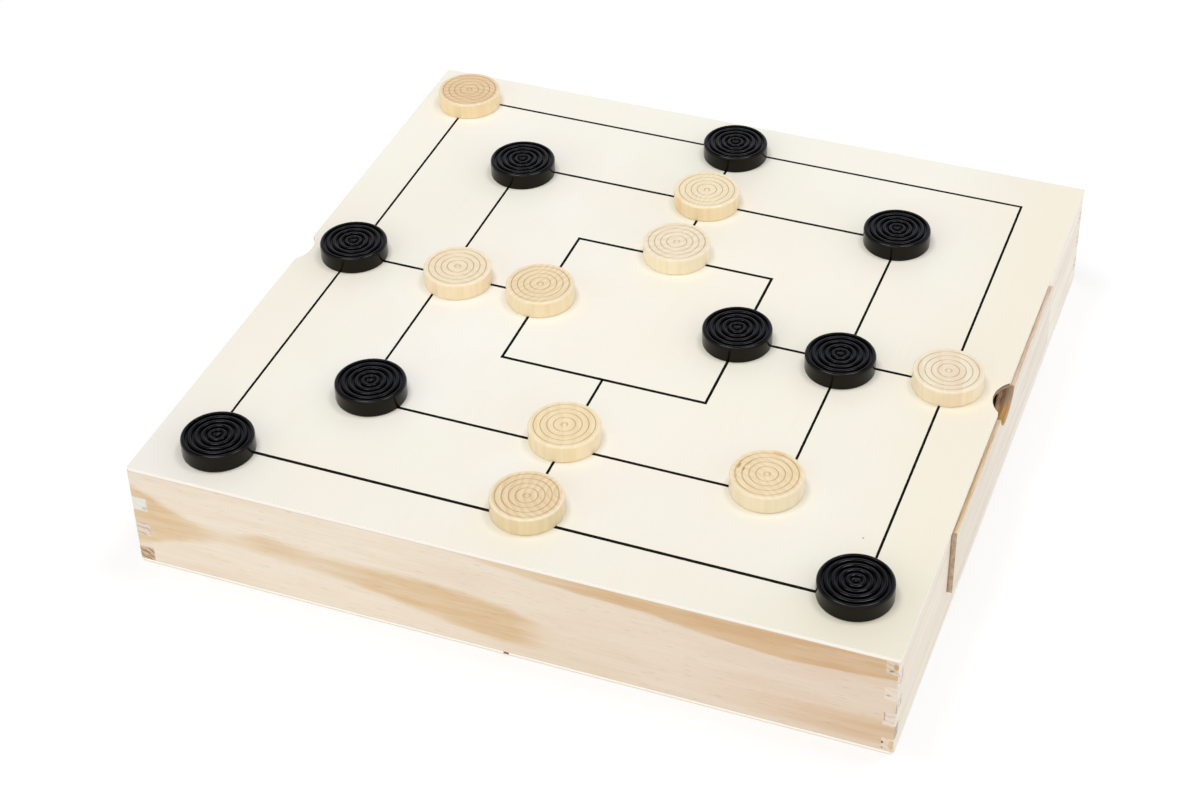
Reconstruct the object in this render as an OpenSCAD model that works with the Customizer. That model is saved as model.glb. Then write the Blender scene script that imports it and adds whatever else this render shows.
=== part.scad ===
// Games compendium: a shallow square pine case with a mill board on top,
// a drawer in its left and right sides, eighteen playing men on the board
// and the pieces of three more games in the drawers.
// Origin: centre of the base board's underside. +Z up, +X towards the
// drawer that stands a little open, -Y towards the plain front wall.

/* [Case] */
// Outer width and depth of the square case
case_w = 324; // [322:1:345]
// Height of the four walls between the two boards
wall_h = 47.5; // [46:0.5:56]
// Thickness of the front and back walls
wall_t = 7; // [6:0.5:8]
// Thickness of the left wall
left_t = 7; // [5:0.5:8]
// Thickness of the right wall
right_t = 5; // [5:0.5:8]
// Thickness of the top board
top_t = 2; // [2:0.5:4]
// Thickness of the base board
base_t = 1.5; // [1.5:0.5:4]
// Rounding of the upright corners of the walls and the top board
corner_r = 1; // [0.5:0.5:2]
// Rounding of the base board's corners
base_corner_r = 3; // [1:0.5:4]
// How far the top board is glued off centre, to the right
board_off = 0.5; // [0:0.1:1]
// Number of finger-joint steps up each corner
finger_steps = 7; // [5:2:9]
// Thickness of the upright partition between the two drawers
partition_t = 6; // [4:1:8]

/* [Finger notches] */
// Radius of the notches in the edges of the top board
notch_r = 14; // [12:0.5:16]
// Depth of the notches, from the face of the wall below
notch_depth = 4; // [3:0.5:5]
// Radius of the scoops in the drawer fronts
scoop_r = 12.6; // [11.5:0.1:14]
// Depth of the scoops
scoop_depth = 9; // [6:0.1:10]

/* [Drawers] */
// Width of the drawer fronts
drawer_w = 172; // [172:1:190]
// How far both drawers lie off the middle, towards the back
drawer_y = 1; // [0:0.5:2]
// Height of the wall left standing under each drawer opening
rail_h = 14.5; // [12:0.5:14.5]
// Thickness of the drawer fronts
front_t = 6.4; // [6:0.1:8]
// Gap between a drawer front and the top board
top_gap = 1; // [0.5:0.1:1.5]
// Clearance at each side of a drawer
drawer_gap = 0.5; // [0.3:0.1:1]
// How far the right drawer stands open
right_open = 2.2; // [0:0.1:10]
// Thickness of the drawer sides and backs
side_t = 5; // [4:0.5:6]
// Thickness of the drawer bottoms
bottom_t = 2.5; // [2:0.5:3]
// Height of the drawer sides above the bottom
side_h = 25; // [25:0.5:26]
// Width of the rear compartment of each drawer
rear_room = 47; // [46:1:50]
// Thickness of the dividers
divider_t = 4; // [3:0.5:6]

/* [Men] */
// Diameter of the men
man_d = 30.3; // [26:0.1:32]
// Height of the men
man_h = 7.8; // [6:0.1:10]
// Depth of the turned ring grooves
ring_depth = 0.6; // [0.3:0.1:1]
// Width of the outer square of the mill
mill_w = 276.5; // [264:0.5:282]

/* [Dominoes, dice and spillikins] */
// Length of a domino
domino_l = 45; // [38:1:45]
// Width of a domino
domino_w = 22; // [18:0.5:22]
// Thickness of a domino
domino_t = 6; // [4:0.5:6]
// Edge of a die
die_w = 16; // [12:1:18]
// Length of a spillikin
stick_l = 155; // [120:1:158]
// Diameter of a spillikin
stick_d = 3; // [2:0.2:3]

/* [Hidden] */

half = case_w / 2;
z_wall = base_t;
z_board = base_t + wall_h;
z_top = z_board + top_t;
step_h = wall_h / finger_steps;
in_l = half - left_t;                   // inner faces of the left and right walls
in_r = half - right_t;
in_y = half - wall_t;                   // inner faces of the front and back walls

z_run = base_t + rail_h;                // tops of the runners
front_h = z_board - z_run - top_gap;    // height of a drawer front
z_floor = z_run + bottom_t;             // inside floor of a drawer
box_back = partition_t / 2 + 0.3;       // back of a closed drawer, just off the partition
box_front = half - front_t;             // back face of a closed drawer's front
room_x0 = box_back + side_t;            // rear compartment starts
div_x = room_x0 + rear_room;            // divider starts
room_y = drawer_w / 2 - side_t;         // half width inside a drawer
notch_y = -0.5;                         // middles of the notches and of the scoops
scoop_y = 0.5;

ring_step = mill_w / 6;                 // inner, middle and outer squares are 1, 2 and 3 steps out

// The game as it stands: [square counted from the inside, x side, y side, and how
// far the man sits off the crossing in x and y]
dark_game = [
  [3, 0, 1, -0.8, -2.3], [2, -1, 1, 1.2, -3], [2, 1, 1, -1.7, 0.6],
  [3, -1, 0, 0.6, 2.4], [1, 1, 0, -0.6, -1], [2, 1, 0, 0.1, -3.7],
  [2, -1, -1, 4.6, 5.8], [3, -1, -1, 6.9, -0.8], [3, 1, -1, -1.4, 3.9]];
light_game = [
  [3, -1, 1, -0.7, -1.3], [2, 0, 1, -0.6, 1.1], [1, 0, 1, 0, 3.6],
  [2, -1, 0, 6.7, -0.3], [1, -1, 0, 0.1, 0], [3, 1, 0, -0.1, 0.2],
  [2, 0, -1, -0.5, 6], [2, 1, -1, -5.5, 4.4], [3, 0, -1, 1.5, 6.6]];

// Where the five dice lie in the left drawer: x, y and turn
dice_lie = [[74, -66, 14], [97, -52, -31], [121, -68, 52], [141, -47, 8], [119, -41, -12]];

$fn = 64;

// ---- shared shapes ----

// Square outline of the case with rounded corners
module outline(r) {
  s = half - r;
  union() {
    square([2 * s, 2 * half], center = true);
    square([2 * half, 2 * s], center = true);
    for (x = [-s, s], y = [-s, s]) translate([x, y]) circle(r);
  }
}

// Keeps a wall inside the rounded corners
module trimmed() {
  intersection() {
    children();
    linear_extrude(z_top + 1) outline(corner_r);
  }
}

// One wall of thickness t standing along x at y = -half. It stops e0 and e1 short of
// the corners, and its fingers fill that: parity 1 owns the second, fourth ... step,
// parity 0 owns the first, third ...
module wall(parity, t, e0, e1) {
  translate([-half + e0, -half, z_wall]) cube([2 * half - e0 - e1, t, wall_h]);
  for (i = [parity : 2 : finger_steps - 1]) {
    translate([-half, -half, z_wall + i * step_h]) cube([e0, t, step_h]);
    translate([half - e1, -half, z_wall + i * step_h]) cube([e1, t, step_h]);
  }
}

// Opening for a drawer in the wall at y = -half, open to the top board
module drawer_opening(t) {
  w = drawer_w / 2 + drawer_gap;
  translate([-w, -half - 1, z_run - 0.2]) cube([2 * w, t + 2, wall_h]);
}

// ---- case ----

module base_board() {
  color([0.93, 0.87, 0.74]) linear_extrude(base_t) outline(base_corner_r);
}

module top_board() {
  color([0.95, 0.93, 0.87])
  translate([0, 0, z_board]) linear_extrude(top_t) difference() {
    translate([board_off, 0]) outline(corner_r);
    for (s = [-1, 1]) translate([s * (half + notch_r - notch_depth), notch_y]) circle(notch_r, $fn = 96);
  }
}

module front_wall() {
  color([0.90, 0.80, 0.66]) trimmed() wall(1, wall_t, left_t, right_t);
}

module back_wall() {
  color([0.90, 0.80, 0.66]) trimmed() rotate([0, 0, 180]) wall(1, wall_t, right_t, left_t);
}

module right_wall() {
  color([0.93, 0.86, 0.76]) difference() {
    trimmed() rotate([0, 0, 90]) wall(0, right_t, wall_t, wall_t);
    translate([0, drawer_y, 0]) rotate([0, 0, 90]) drawer_opening(right_t);
  }
}

module left_wall() {
  color([0.93, 0.86, 0.76]) difference() {
    trimmed() rotate([0, 0, -90]) wall(0, left_t, wall_t, wall_t);
    translate([0, drawer_y, 0]) rotate([0, 0, -90]) drawer_opening(left_t);
  }
}

// Upright strip between the drawers, from wall to wall
module centre_partition() {
  color([0.88, 0.79, 0.64])
  translate([-partition_t / 2, -in_y, base_t]) cube([partition_t, 2 * in_y, wall_h]);
}

// A pair of strips along x, at y0 and at its mirror place about the drawer's middle line
module strips(y0, w, h) {
  for (s = [-1, 1], t = [-1, 1])
    translate([s > 0 ? partition_t / 2 : -in_l, drawer_y + (t > 0 ? y0 : -y0 - w), base_t])
      cube([(s > 0 ? in_r : in_l) - partition_t / 2, w, h]);
}

// Four strips on the base that carry the drawers
module drawer_runners() {
  color([0.88, 0.79, 0.64]) strips(drawer_w / 2 - 12, 12, rail_h);
}

// Four taller strips beside the drawers that keep them straight
module drawer_guides() {
  color([0.88, 0.79, 0.64]) strips(drawer_w / 2 + drawer_gap, 8, rail_h + 18);
}

// ---- drawers, modelled closed on the +X side ----

module place(side) {
  if (side > 0) translate([right_open, drawer_y, 0]) children();
  else translate([0, drawer_y, 0]) mirror([1, 0, 0]) children();
}

module drawer_front() {
  color([0.93, 0.86, 0.76]) difference() {
    translate([box_front, -drawer_w / 2, z_run]) cube([front_t, drawer_w, front_h]);
    translate([box_front - 1, scoop_y - drawer_y, z_run + front_h + scoop_r - scoop_depth]) rotate([0, 90, 0])
      cylinder(r = scoop_r, h = front_t + 2, $fn = 96);
  }
}

module drawer_back() {
  color([0.90, 0.82, 0.70])
  translate([box_back, -room_y, z_floor]) cube([side_t, 2 * room_y, side_h]);
}

module drawer_side(t) {
  color([0.90, 0.82, 0.70])
  translate([box_back, t > 0 ? room_y : -drawer_w / 2, z_floor])
    cube([box_front - box_back, side_t, side_h]);
}

module drawer_bottom() {
  color([0.93, 0.87, 0.74])
  translate([box_back, -drawer_w / 2, z_run]) cube([box_front - box_back, drawer_w, bottom_t]);
}

module drawer_divider() {
  color([0.90, 0.82, 0.70])
  translate([div_x, -room_y, z_floor]) cube([divider_t, 2 * room_y, side_h - 2]);
}

// ---- men ----

// Half section of a turned man: flat underside, rounded rim, five ring
// grooves with rounded beads between them and a small nib in the middle
bead = man_d * 0.185 / 2;               // distance from one groove to the next
groove_r = [for (k = [0 : 4]) man_d / 2 * 0.86 - bead * (4 - k)];
rim_r = 0.9;
function rim(a) = [man_d / 2 - rim_r + rim_r * cos(a), man_h - rim_r + rim_r * sin(a)];
function bead_pts(r0, r1) = [for (k = [0 : 4]) let (f = k / 4)
  [r1 + (r0 - r1) * f, man_h - 0.05 - ring_depth * pow(abs(2 * f - 1), 2)]];
man_pts = concat(
  [[0, 0], [man_d / 2 - 0.5, 0], [man_d / 2, 0.5]],
  [for (a = [0 : 30 : 90]) rim(a)],
  [[groove_r[4] + 0.7, man_h - 0.05]],
  [for (k = [4 : -1 : 1]) each bead_pts(groove_r[k - 1], groove_r[k])],
  [[0.55, man_h - ring_depth], [0, man_h - 0.25]]);

// Drops a point that only repeats the one before it
function tidy(p) = [for (i = [0 : len(p) - 1]) if (i == 0 || norm(p[i] - p[i - 1]) > 0.01) p[i]];

module man() {
  rotate_extrude($fn = 96) polygon(tidy(man_pts));
}

module man_at(g) {
  translate([g[0] * g[1] * ring_step + g[3], g[0] * g[2] * ring_step + g[4], z_top]) man();
}

module light_man(i) { color([0.94, 0.85, 0.70]) man_at(light_game[i - 1]); }
module dark_man(i) { color([0.08, 0.08, 0.09]) man_at(dark_game[i - 1]); }

// ---- games in the drawers ----

// Twenty-eight dominoes in seven stacks of four, a hair apart, in the rear of the
// right drawer
module dominoes() {
  color([0.16, 0.13, 0.12])
  place(1)
  for (i = [0 : 6], j = [0 : 3])
    translate([room_x0 + 1, (i - 3) * (domino_w + 0.8) - domino_w / 2, z_floor + j * (domino_t + 0.05)])
      cube([domino_l, domino_w, domino_t]);
}

// A die is a cube with its corners turned off
module die() {
  translate([0, 0, die_w / 2]) intersection() {
    cube(die_w, center = true);
    sphere(d = die_w * 1.42, $fn = 64);
  }
}

module dice() {
  color([0.93, 0.86, 0.70])
  place(-1)
  for (d = dice_lie) translate([d[0], d[1], z_floor]) rotate([0, 0, d[2]]) die();
}

// A spillikin is a round stick with both ends pointed
module stick() {
  tip = stick_d * 2;
  rotate([-90, 0, 0]) rotate_extrude($fn = 16)
    polygon([[0, -stick_l / 2], [0.4, -stick_l / 2], [stick_d / 2, -stick_l / 2 + tip],
             [stick_d / 2, stick_l / 2 - tip], [0.4, stick_l / 2], [0, stick_l / 2]]);
}

// Thirty-one spillikins in three layers, in the rear of the left drawer
module spillikins() {
  pitch = stick_d + 0.12;
  color([0.90, 0.78, 0.56])
  place(-1)
  for (layer = [0 : 2])
    for (i = [0 : [13, 12, 3][layer]])
      translate([room_x0 + 1 + stick_d / 2 + (i + layer * 0.5) * pitch,
                 [0, 1, -1, 0.5][(i * 3 + layer) % 4],
                 z_floor + stick_d / 2 + layer * pitch * 0.87])
        stick();
}

// ---- the nodes ----

base_board();
top_board();
front_wall();
back_wall();
left_wall();
right_wall();
centre_partition();
drawer_runners();
drawer_guides();
place(1) drawer_front();  // right_drawer_front
place(1) drawer_back();  // right_drawer_back
place(1) drawer_side(-1);  // right_drawer_near_side
place(1) drawer_side(1);  // right_drawer_far_side
place(1) drawer_bottom();  // right_drawer_bottom
place(1) drawer_divider();  // right_drawer_divider
place(-1) drawer_front();  // left_drawer_front
place(-1) drawer_back();  // left_drawer_back
place(-1) drawer_side(-1);  // left_drawer_near_side
place(-1) drawer_side(1);  // left_drawer_far_side
place(-1) drawer_bottom();  // left_drawer_bottom
place(-1) drawer_divider();  // left_drawer_divider
light_man(1);  // light_man_1
light_man(2);  // light_man_2
light_man(3);  // light_man_3
light_man(4);  // light_man_4
light_man(5);  // light_man_5
light_man(6);  // light_man_6
light_man(7);  // light_man_7
light_man(8);  // light_man_8
light_man(9);  // light_man_9
dark_man(1);  // dark_man_1
dark_man(2);  // dark_man_2
dark_man(3);  // dark_man_3
dark_man(4);  // dark_man_4
dark_man(5);  // dark_man_5
dark_man(6);  // dark_man_6
dark_man(7);  // dark_man_7
dark_man(8);  // dark_man_8
dark_man(9);  // dark_man_9
dominoes();
dice();
spillikins();
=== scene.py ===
import math
import random

import bmesh
import bpy
from mathutils import Matrix, Vector


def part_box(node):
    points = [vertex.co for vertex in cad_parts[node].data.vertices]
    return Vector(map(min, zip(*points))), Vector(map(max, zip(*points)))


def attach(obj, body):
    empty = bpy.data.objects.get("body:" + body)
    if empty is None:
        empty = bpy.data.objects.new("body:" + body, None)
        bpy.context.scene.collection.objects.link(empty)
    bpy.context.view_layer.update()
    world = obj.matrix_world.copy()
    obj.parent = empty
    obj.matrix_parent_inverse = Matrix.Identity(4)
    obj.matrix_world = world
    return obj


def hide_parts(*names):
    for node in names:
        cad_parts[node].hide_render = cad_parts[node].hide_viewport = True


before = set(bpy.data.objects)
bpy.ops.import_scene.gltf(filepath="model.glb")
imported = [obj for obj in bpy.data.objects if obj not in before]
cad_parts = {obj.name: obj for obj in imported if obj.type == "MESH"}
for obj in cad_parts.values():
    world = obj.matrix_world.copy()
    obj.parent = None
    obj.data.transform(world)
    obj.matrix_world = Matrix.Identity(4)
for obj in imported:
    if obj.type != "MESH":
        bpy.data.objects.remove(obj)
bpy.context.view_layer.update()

MM = 0.001
TOP = 51.0            # height of the playing surface, mm
HALF = 162.0          # half the width of the case
BASE = 1.5            # thickness of the base board
STEP = 47.5 / 7       # height of one finger of the corner joints
scene = bpy.context.scene


# ------------------------------------------------------------------ camera

def make_camera():
    data = bpy.data.cameras.new("camera")
    cam = bpy.data.objects.new("camera", data)
    scene.collection.objects.link(cam)
    right = Vector((0.938555, 0.344989, -0.009855))
    down = Vector((0.197927, -0.561419, -0.803513))
    ahead = Vector((-0.282736, 0.752191, -0.595205))
    m = Matrix.Identity(4)
    for i in range(3):
        m[i][0], m[i][1], m[i][2] = right[i], -down[i], -ahead[i]
    m[0][3], m[1][3], m[2][3] = 0.300557, -0.799338, 0.652745 + TOP * MM
    cam.matrix_world = m
    data.sensor_width = 36.0
    data.lens = 73.997
    data.shift_x = -0.03204
    data.shift_y = -0.09901
    data.clip_start, data.clip_end = 0.02, 30
    scene.camera = cam


make_camera()
scene.view_settings.view_transform = "Standard"
scene.view_settings.look = "None"
scene.view_settings.exposure = 0.0
scene.view_settings.gamma = 1.0


# ------------------------------------------------------------------ node helper

class Nodes:
    """Short ways to wire a node tree."""

    def __init__(self, tree):
        self.t = tree
        self._tc = None

    def new(self, kind, **props):
        n = self.t.nodes.new(kind)
        for k, v in props.items():
            setattr(n, k, v)
        return n

    def put(self, socket, value):
        if isinstance(value, bpy.types.NodeSocket):
            self.t.links.new(value, socket)
        elif isinstance(value, (tuple, list)) and len(value) == 3 and socket.type == "RGBA":
            socket.default_value = (*value, 1)
        else:
            socket.default_value = value

    def xyz(self, v):
        n = self.new("ShaderNodeSeparateXYZ")
        self.put(n.inputs[0], v)
        return n.outputs[0], n.outputs[1], n.outputs[2]

    def vec(self, x, y, z):
        n = self.new("ShaderNodeCombineXYZ")
        for i, v in enumerate((x, y, z)):
            self.put(n.inputs[i], v)
        return n.outputs[0]

    def vmul(self, v, s):
        n = self.new("ShaderNodeVectorMath", operation="MULTIPLY")
        self.put(n.inputs[0], v)
        n.inputs[1].default_value = s
        return n.outputs[0]

    def vadd(self, v, s):
        n = self.new("ShaderNodeVectorMath", operation="ADD")
        self.put(n.inputs[0], v)
        self.put(n.inputs[1], s)
        return n.outputs[0]

    def math(self, op, a, b=0.0, c=None, clamp=False):
        n = self.new("ShaderNodeMath", operation=op, use_clamp=clamp)
        self.put(n.inputs[0], a)
        self.put(n.inputs[1], b)
        if c is not None:
            self.put(n.inputs[2], c)
        return n.outputs[0]

    def add(self, a, b): return self.math("ADD", a, b)
    def sub(self, a, b): return self.math("SUBTRACT", a, b)
    def mul(self, a, b): return self.math("MULTIPLY", a, b)

    def dot(self, v, d):
        n = self.new("ShaderNodeVectorMath", operation="DOT_PRODUCT")
        self.put(n.inputs[0], v)
        n.inputs[1].default_value = d
        return n.outputs["Value"]

    def far(self, v, centre):
        """Distance from a fixed point."""
        n = self.new("ShaderNodeVectorMath", operation="DISTANCE")
        self.put(n.inputs[0], v)
        n.inputs[1].default_value = centre
        return n.outputs["Value"]

    def step(self, v, lo, hi, a=0.0, b=1.0, smooth=True):
        """a below lo, b above hi, and eased between."""
        n = self.new("ShaderNodeMapRange", interpolation_type="SMOOTHSTEP" if smooth else "LINEAR")
        n.clamp = True
        for i, x in enumerate((v, lo, hi, a, b)):
            self.put(n.inputs[i], x)
        return n.outputs[0]

    def hump(self, v, mid, half, soft):
        """1 within half of mid, and eased to 0 over soft on both sides."""
        return self.step(self.math("ABSOLUTE", self.sub(v, mid)), half + soft, half)

    def noise(self, v, scale=1.0, detail=2.0, rough=0.5, distort=0.0, lac=2.0, colour=False):
        n = self.new("ShaderNodeTexNoise", noise_dimensions="3D")
        self.put(n.inputs["Vector"], v)
        n.inputs["Scale"].default_value = scale
        n.inputs["Detail"].default_value = detail
        n.inputs["Roughness"].default_value = rough
        n.inputs["Lacunarity"].default_value = lac
        n.inputs["Distortion"].default_value = distort
        return n.outputs["Color" if colour else "Fac"]

    def hashed(self, v, out="Value"):
        n = self.new("ShaderNodeTexWhiteNoise", noise_dimensions="3D")
        self.put(n.inputs["Vector"], v)
        return n.outputs[out]

    def mix(self, f, a, b, how="MIX"):
        n = self.new("ShaderNodeMix", data_type="RGBA", blend_type=how)
        n.clamp_factor = True
        self.put(n.inputs[0], f)
        self.put(n.inputs[6], a)
        self.put(n.inputs[7], b)
        return n.outputs[2]

    def ramp(self, v, stops, ease="LINEAR"):
        n = self.new("ShaderNodeValToRGB")
        n.color_ramp.interpolation = ease
        e = n.color_ramp.elements
        while len(e) > 1:
            e.remove(e[-1])
        e[0].position = stops[0][0]
        e[0].color = (*stops[0][1], 1)
        for p, c in stops[1:]:
            s = e.new(p)
            s.color = (*c, 1)
        self.put(n.inputs[0], v)
        return n.outputs[0]

    def rgb(self, c):
        n = self.new("ShaderNodeSeparateColor")
        self.put(n.inputs[0], c)
        return n.outputs[0], n.outputs[1], n.outputs[2]

    def bump(self, h, dist, strength=1.0, under=None):
        n = self.new("ShaderNodeBump")
        n.inputs["Strength"].default_value = strength
        n.inputs["Distance"].default_value = dist
        self.put(n.inputs["Height"], h)
        if under is not None:
            self.put(n.inputs["Normal"], under)
        return n.outputs[0]


class Mat(Nodes):
    """A material."""

    def __init__(self, name):
        self.m = bpy.data.materials.new(name)
        self.m.use_nodes = True
        super().__init__(self.m.node_tree)
        self.t.nodes.clear()
        self.out = self.new("ShaderNodeOutputMaterial")
        self.b = self.new("ShaderNodeBsdfPrincipled")
        self.t.links.new(self.b.outputs[0], self.out.inputs["Surface"])

    @property
    def pos(self):
        """Place in the piece's own coordinates, in mm."""
        if self._tc is None:
            tc = self.new("ShaderNodeTexCoord")
            s = self.new("ShaderNodeVectorMath", operation="SCALE")
            self.t.links.new(tc.outputs["Object"], s.inputs[0])
            s.inputs["Scale"].default_value = 1000.0
            self._tc = (s.outputs[0], tc.outputs["Normal"])
        return self._tc[0]

    @property
    def normal(self):
        self.pos
        return self._tc[1]

    def finish(self, colour=None, rough=None, normal=None, **const):
        if colour is not None:
            self.put(self.b.inputs["Base Color"], colour)
        if rough is not None:
            self.put(self.b.inputs["Roughness"], rough)
        if normal is not None:
            self.put(self.b.inputs["Normal"], normal)
        for k, v in const.items():
            self.b.inputs[k.replace("_", " ")].default_value = v
        return self.m


def lin(r, g, b):
    """A screen colour, 0 to 255, as the linear colour that a shader takes."""
    return tuple(((c / 255 + 0.055) / 1.055) ** 2.4 if c > 10 else c / 255 / 12.92 for c in (r, g, b))


# ------------------------------------------------------------------ light

def area(name, loc, target, size, power, colour=(1, 1, 1)):
    d = bpy.data.lights.new(name, "AREA")
    d.energy = power
    d.color = colour
    d.shape = "RECTANGLE"
    d.size = size
    d.size_y = size
    o = bpy.data.objects.new(name, d)
    scene.collection.objects.link(o)
    o.location = loc
    o.rotation_euler = (Vector(target) - Vector(loc)).to_track_quat("-Z", "Y").to_euler()
    return o


def make_world():
    """A white studio: a pale wall behind the camera, and a far wall that is dim high up
    and white at floor level. The lamps do the rest."""
    world = bpy.data.worlds.new("studio")
    scene.world = world
    world.use_nodes = True
    bg = world.node_tree.nodes["Background"]
    k = Nodes(world.node_tree)
    way = k.new("ShaderNodeTexCoord").outputs["Generated"]
    x, y, z = k.xyz(way)
    front = k.step(k.dot(way, (0.25, -0.97, 0.0)), -0.10, 0.55)
    left = k.step(k.dot(way, (-0.97, -0.25, 0.0)), 0.10, 0.75)
    far = k.ramp(z, [(0.0, (1.0, 1.0, 1.0)), (0.06, (0.76, 0.77, 0.79)), (0.40, (0.80, 0.82, 0.92)), (0.58, (0.66, 0.68, 0.80)),
                     (0.68, (0.38, 0.40, 0.48)), (0.78, (0.13, 0.13, 0.15)), (1.0, (0.10, 0.10, 0.10))])
    dim = k.ramp(z, [(0.0, (1.0,) * 3), (0.08, (0.56, 0.555, 0.51)), (0.60, (0.51, 0.505, 0.465)), (0.80, (0.14, 0.14, 0.13)),
                     (1.0, (0.10, 0.10, 0.10))])
    near = k.ramp(z, [(0.0, (1.0,) * 3), (0.08, (1.05, 1.035, 0.98)), (0.66, (1.05, 1.035, 0.98)), (0.84, (0.42, 0.41, 0.39)),
                      (1.0, (0.20, 0.20, 0.19))])
    k.put(bg.inputs["Color"], k.mix(front, k.mix(left, far, dim), near))
    bg.inputs["Strength"].default_value = 1.0


make_world()
area("right_light", (0.52, 0.36, 1.96), (0, 0, 0.03), 0.55, 8.4, (0.99, 0.995, 1.03))
area("left_light", (-0.54, -0.12, 1.98), (0, 0, 0.03), 0.55, 8.4, (0.99, 0.995, 1.03))
area("top_light", (0.0, -0.50, 1.98), (0, 0, 0.03), 0.90, 6.2, (0.99, 0.995, 1.02))


# ------------------------------------------------------------------ pine

def fibres(k, along, seed, stretch=40.0):
    """Fine long-grain texture: thin streaks and sparse short dark flecks. along is 0, 1 or 2."""
    s_fine = [1.0, 1.0, 1.0]
    s_fine[along] = 1.0 / stretch
    p = k.vadd(k.pos, (seed * 17.3, seed * 5.1, seed * 9.7))
    fine = k.noise(k.vmul(p, tuple(1.6 * c for c in s_fine)), 1.0, 3.0, 0.6)
    wide = k.noise(k.vmul(p, tuple(0.22 * c for c in s_fine)), 1.0, 2.0, 0.5)
    fleck_s = [2.2, 2.2, 2.2]
    fleck_s[along] = 0.16
    fleck = k.noise(k.vmul(p, tuple(fleck_s)), 1.0, 1.0, 0.4)
    fleck = k.step(fleck, 0.67, 0.76)
    return fine, wide, fleck


def end_grain(k, axis, seed, base, line, amount, lines=2.3):
    """Cut across the grain: ring arcs in the two directions of the cut face, and pits.
    base, line and amount may be sockets, so that one wall's blocks can differ."""
    p = k.vadd(k.pos, (seed * 3.1, seed * 7.7, seed * 2.3))
    warp = k.noise(k.vmul(p, (0.13, 0.13, 0.13)), 1.0, 2.0, 0.5)
    x, y, z = k.xyz(k.pos)
    other = (y, x, y)[axis]
    ring = k.math("SINE", k.add(k.mul(k.add(z, k.mul(other, 0.45)), lines), k.mul(warp, 15.0)))
    ring = k.step(ring, 0.2, 0.95)
    pits = k.step(k.noise(k.vmul(p, (1.5, 1.5, 1.5)), 1.0, 2.0, 0.6), 0.58, 0.72)
    c = k.mix(k.mul(ring, amount), base, line)
    return k.mix(k.mul(pits, k.mul(amount, 0.55)), c, k.mix(0.5, line, lin(110, 84, 62)))


PALE = lin(240, 229, 212)
PINK = lin(239, 225, 208)
TAN = lin(225, 197, 158)
DEEP = lin(218, 186, 143)


def glue_line(k, c, z):
    """The wall's edges next to the top and base boards are a little darker."""
    joint = k.math("MAXIMUM", k.step(z, 48.72, 48.95), k.step(z, 1.85, 1.62))
    return k.mix(k.mul(joint, 0.45), c, lin(186, 160, 134))


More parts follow.
